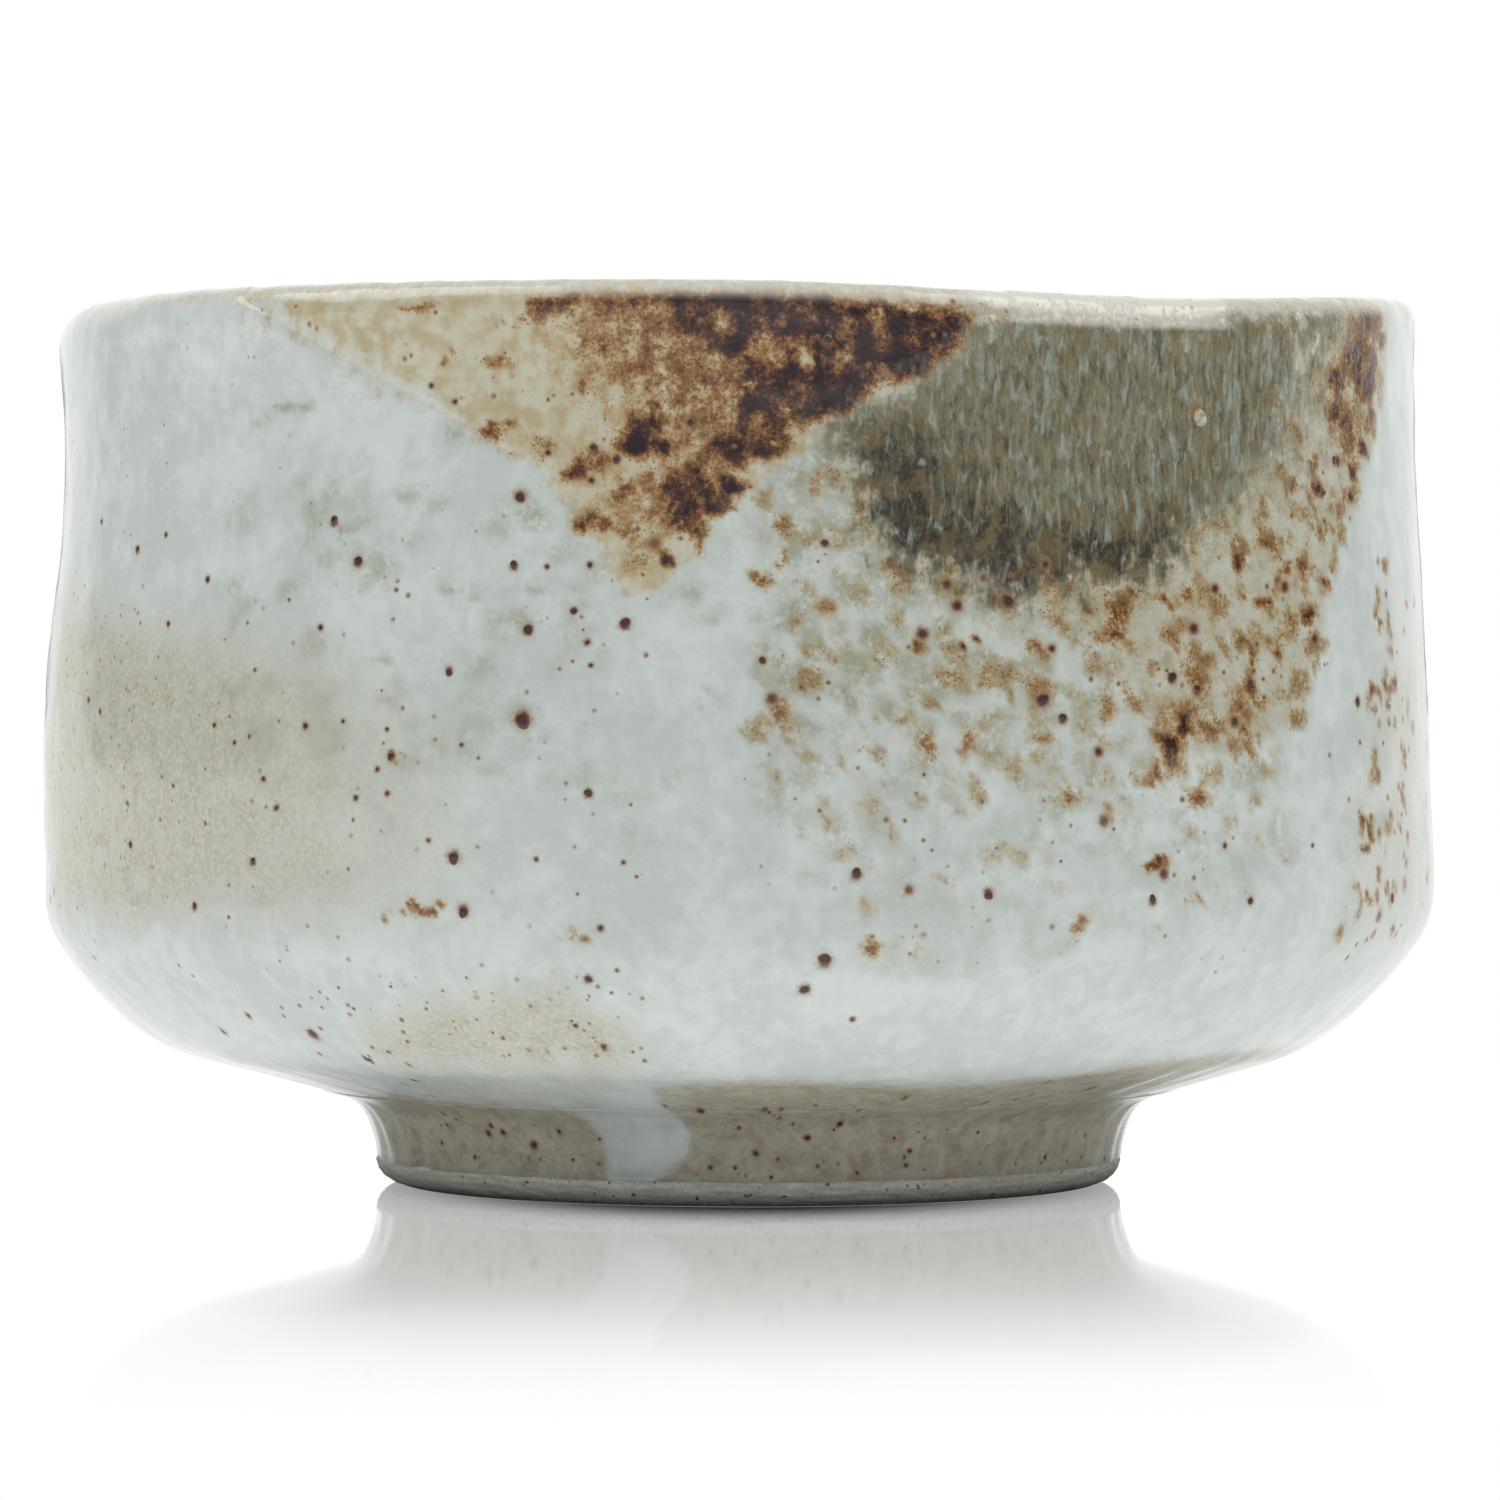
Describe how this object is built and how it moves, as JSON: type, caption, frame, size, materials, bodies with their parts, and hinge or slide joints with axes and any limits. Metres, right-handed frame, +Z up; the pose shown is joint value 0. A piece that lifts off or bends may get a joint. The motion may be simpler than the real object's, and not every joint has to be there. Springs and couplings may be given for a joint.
{
  "type": "matcha bowl",
  "caption": "Wide hand-thrown tea bowl with upright walls, a rounded hip and a turned foot ring, in white, ash-green and rust glazes over stoneware.",
  "frame": {"origin": "on the table under the bowl, on the axis of the thrown wall", "axes": "+Z up out of the bowl's mouth; -Y is the front, where the rust and ash glazes are; +X is to the right seen from the front"},
  "size_m": [0.1198, 0.1198, 0.0763],
  "materials": {
    "clay": "matt",
    "white_glaze": "gloss",
    "base_glaze": "gloss",
    "rust_glaze": "gloss",
    "ash_glaze": "gloss",
    "iron": "gloss"
  },
  "bodies": {
    "root": {"clay_body": "clay", "foot_ring": "clay", "base_glaze": "base_glaze", "white_glaze": "white_glaze", "rust_glaze": "rust_glaze", "ash_glaze": "ash_glaze", "well_glaze": "white_glaze", "foot_glaze": "base_glaze", "foot_well_glaze": "base_glaze", "white_glaze_run": "white_glaze", "iron_spots": "iron", "glaze_bead": "ash_glaze"}
  },
  "joints": []
}
